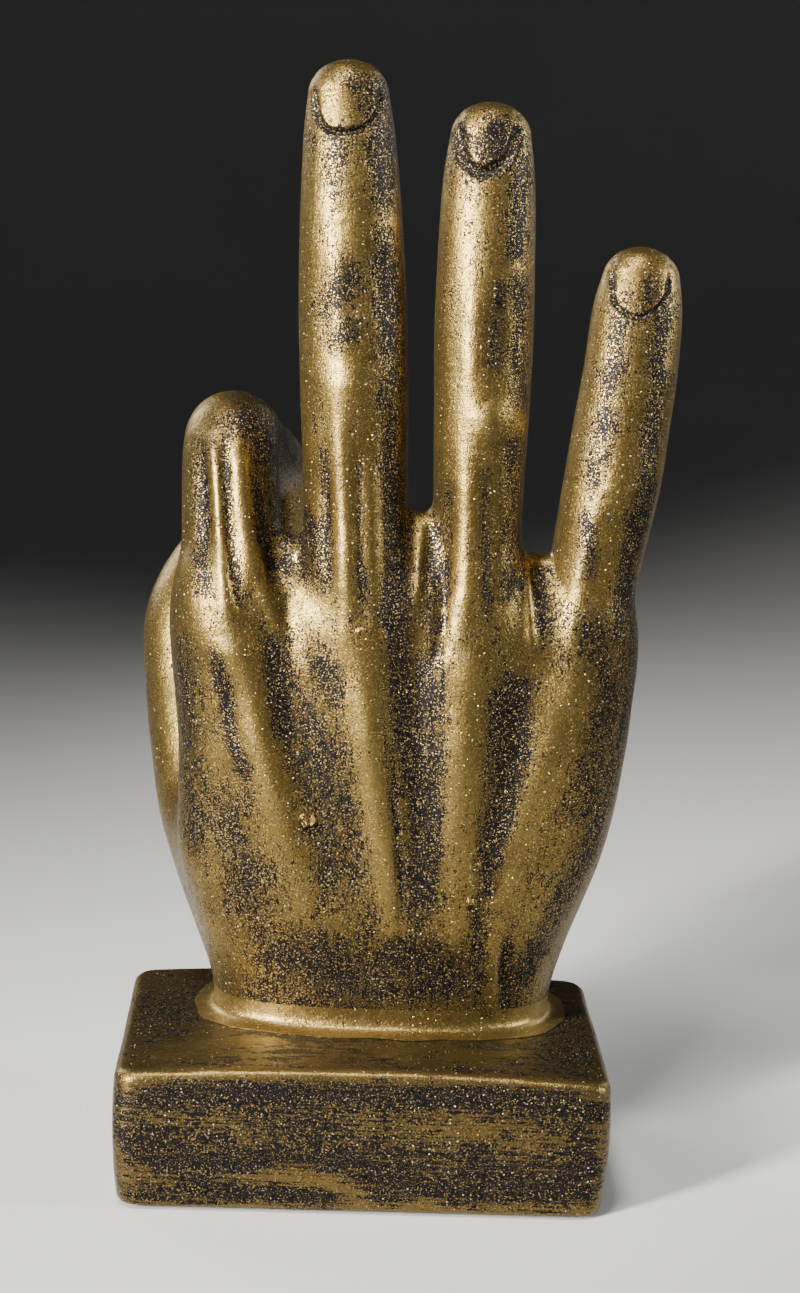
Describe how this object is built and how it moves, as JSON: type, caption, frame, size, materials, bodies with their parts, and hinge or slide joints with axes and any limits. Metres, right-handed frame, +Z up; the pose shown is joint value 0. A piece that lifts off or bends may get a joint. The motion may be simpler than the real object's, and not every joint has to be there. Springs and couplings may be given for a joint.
{
  "type": "hand gesture statue",
  "caption": "Life-size hand ornament: straight fingers, with the index bent round to meet the thumb in a ring, standing on a low rounded plinth with a felt underside.",
  "frame": {"origin": "centre of the plinth's underside, on the felt", "axes": "+Z up, -Y out of the back of the hand towards the viewer, +X towards the little finger"},
  "size_m": [0.1058, 0.0885, 0.219],
  "materials": {
    "antique_gold_resin": "cast resin, antique gold dry-brushed over black, grainy and half glossy",
    "antique_gold_plinth": "cast resin, darker antique gold with level brush streaks over black",
    "antique_gold_filler": "resin filler, painted over in the same gold, brightest on its crest",
    "zinc_plated_steel": "zinc plated",
    "black_felt": "pressed felt"
  },
  "bodies": {
    "root": {"hand_casting": "antique_gold_resin", "plinth": "antique_gold_plinth", "wrist_fillet": "antique_gold_filler", "anchor_rod": "zinc_plated_steel", "anchor_washer": "zinc_plated_steel", "anchor_nut": "zinc_plated_steel", "dowel_pin_thumb_side": "zinc_plated_steel", "dowel_pin_little_side": "zinc_plated_steel", "felt_base": "black_felt"}
  },
  "joints": []
}
